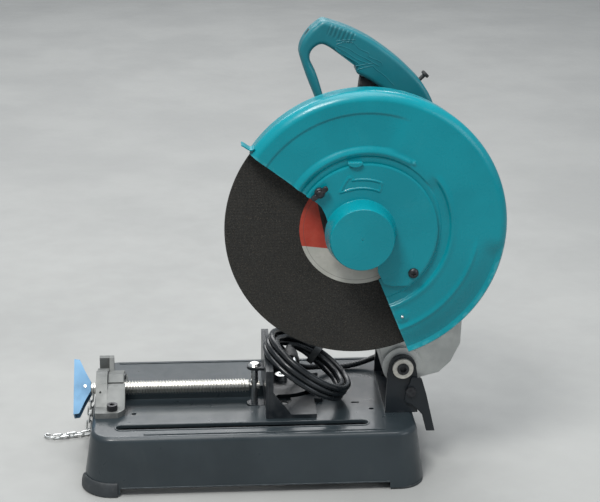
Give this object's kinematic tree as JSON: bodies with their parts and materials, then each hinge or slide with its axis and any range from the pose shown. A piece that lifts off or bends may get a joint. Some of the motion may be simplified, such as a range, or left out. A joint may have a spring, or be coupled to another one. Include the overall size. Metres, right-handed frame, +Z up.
{
  "type": "abrasive chop saw",
  "caption": "Portable metal cut-off saw: pressed base with screw vise and swivel fence, tilting cast arm with gear-driven abrasive wheel, guard, motor, D-handle and coiled cord.",
  "frame": {"origin": "on the floor plane under the middle of the base", "axes": "+X towards the hinge at the rear, +Z up, wheel on the -Y side, +Y towards the motor"},
  "size_m": [0.6431, 0.302, 0.636],
  "materials": {
    "teal_paint": "gloss paint",
    "teal_plastic": "moulded, light gloss",
    "base_paint": "semi-gloss dark paint",
    "black_paint": "black paint",
    "rubber": "matt",
    "cord_rubber": "soft sheen",
    "black_plastic": "matt",
    "zinc": "zinc plated",
    "steel": "machined",
    "alloy": "cast, bead blasted",
    "copper": "turned",
    "abrasive": "coarse resin-bonded grit",
    "label_paper": "printed, plain"
  },
  "bodies": {
    "base": {"base_pan": "base_paint", "foot_front_near": "rubber", "foot_front_far": "rubber", "foot_rear_near": "rubber", "foot_rear_far": "rubber", "pivot_bracket": "base_paint", "pivot_bracket_bolts": "black_paint", "pivot_shaft": "black_paint", "pivot_ring": "zinc", "return_spring": "black_paint", "spark_guard_bolts": "black_paint", "fence_pivot_bolt": "black_paint", "fence_clamp_bolt": "black_paint", "vise_bracket": "alloy", "vise_bracket_bolts": "black_paint", "nut_pin": "steel", "chain_hanging": "zinc", "cord_lead": "cord_rubber"},
    "spark_shield": {"spark_guard": "black_paint"},
    "fence_plate": {"fence": "base_paint", "cord_coil": "cord_rubber", "cord_plug": "rubber"},
    "quick_nut": {"vise_nut": "black_paint"},
    "vise_slide": {"clevis_pin": "zinc"},
    "screw": {"vise_screw": "zinc", "vise_handle": "teal_paint", "handle_pin": "steel"},
    "jaw": {"jaw_plate": "black_paint"},
    "chain_end": {"chain_tail": "zinc"},
    "head": {"arm_housing": "alloy", "gear_cover": "alloy", "motor_housing": "teal_plastic", "motor_end_cover": "teal_plastic", "stator": "steel", "brush_caps": "black_plastic", "spindle_bearings": "steel", "armature_bearings": "steel", "wheel_guard": "teal_paint", "handle_near_shell": "teal_plastic", "handle_far_shell": "teal_plastic", "handle_screws": "steel", "hook_plate": "black_plastic", "switch_body": "black_plastic", "strain_relief": "rubber", "cover_screw": "black_paint"},
    "armature": {"armature_shaft": "steel", "armature_core": "steel", "commutator": "copper", "fan": "black_plastic"},
    "wheel_set": {"spindle": "steel", "large_gear": "steel", "inner_flange": "steel", "outer_flange": "steel", "wheel_bolt": "steel", "abrasive_wheel": "abrasive", "wheel_label": "label_paper"},
    "cover": {"center_cover": "teal_paint"},
    "wing": {"wing_bolt": "black_plastic"},
    "trigger_lever": {"trigger": "black_plastic"},
    "lock_button": {"lock_off_button": "black_plastic"}
  },
  "joints": [
    {"name": "head_pivot", "type": "hinge", "parent": "base", "child": "head", "pos_m": [0.209, 0, 0.1505], "axis": [0, -1, 0], "range_deg": [0, 47], "stiffness_Nm_per_rad": 27.5, "springref_deg": -17.76, "deforming": ["cord_lead"]},
    {"name": "spindle_spin", "type": "hinge", "parent": "head", "child": "wheel_set", "pos_m": [0.138, -0.099, 0.368], "axis": [0, -1, 0], "continuous": true},
    {"name": "armature_spin", "type": "hinge", "parent": "head", "child": "armature", "pos_m": [0.16741, 0.03, 0.40305], "axis": [0, -1, 0], "continuous": true},
    {"name": "vise_travel", "type": "slide", "parent": "base", "child": "vise_slide", "axis": [-1, 0, 0], "range_m": [0, 0.132]},
    {"name": "vise_screw_turn", "type": "hinge", "parent": "vise_slide", "child": "screw", "pos_m": [-0.1, -0.003, 0.099], "axis": [1, 0, 0], "range_deg": [0, 11880]},
    {"name": "jaw_swivel", "type": "hinge", "parent": "vise_slide", "child": "jaw", "pos_m": [0.004, -0.003, 0.1], "axis": [0, 0, 1], "range_deg": [0, 45]},
    {"name": "fence_swivel", "type": "hinge", "parent": "base", "child": "fence_plate", "pos_m": [0.045, 0.04, 0.09], "axis": [0, 0, 1], "range_deg": [0, 45]},
    {"name": "vise_nut_flip", "type": "hinge", "parent": "base", "child": "quick_nut", "pos_m": [-0.195, 0.032, 0.102], "axis": [-1, 0, 0], "range_deg": [0, 45]},
    {"name": "spark_guard_tilt", "type": "hinge", "parent": "base", "child": "spark_shield", "pos_m": [0.221, 0, 0.116], "axis": [0, -1, 0], "range_deg": [0, 30]},
    {"name": "chain_tail_lift", "type": "hinge", "parent": "base", "child": "chain_end", "pos_m": [-0.2415, 0.045, 0.0046], "axis": [0, 1, 0], "range_deg": [0, 20]},
    {"name": "center_cover_swing", "type": "hinge", "parent": "head", "child": "cover", "pos_m": [0.2104, -0.126, 0.3132], "axis": [0, 1, 0], "range_deg": [0, 60]},
    {"name": "wing_bolt_turn", "type": "hinge", "parent": "head", "child": "wing", "pos_m": [0.0837, -0.13, 0.4275], "axis": [0, 1, 0], "continuous": true},
    {"name": "trigger_squeeze", "type": "hinge", "parent": "head", "child": "trigger_lever", "pos_m": [0.203, -0.02, 0.531], "axis": [0, 1, 0], "range_deg": [0, 5], "stiffness_Nm_per_rad": 1.5, "springref_deg": -17.19},
    {"name": "lock_off_press", "type": "slide", "parent": "head", "child": "lock_button", "axis": [-0.7071, 0, -0.7071], "range_m": [0, 0.003], "stiffness_N_per_m": 400, "springref_m": -0.003}
  ],
  "couplings": [
    {"joint": "armature_spin", "follows": "spindle_spin", "ratio": -5.7778},
    {"joint": "vise_travel", "follows": "vise_screw_turn", "m_per_rad": 0.00063662},
    {"joint": "jaw_swivel", "follows": "fence_swivel", "ratio": 1}
  ]
}
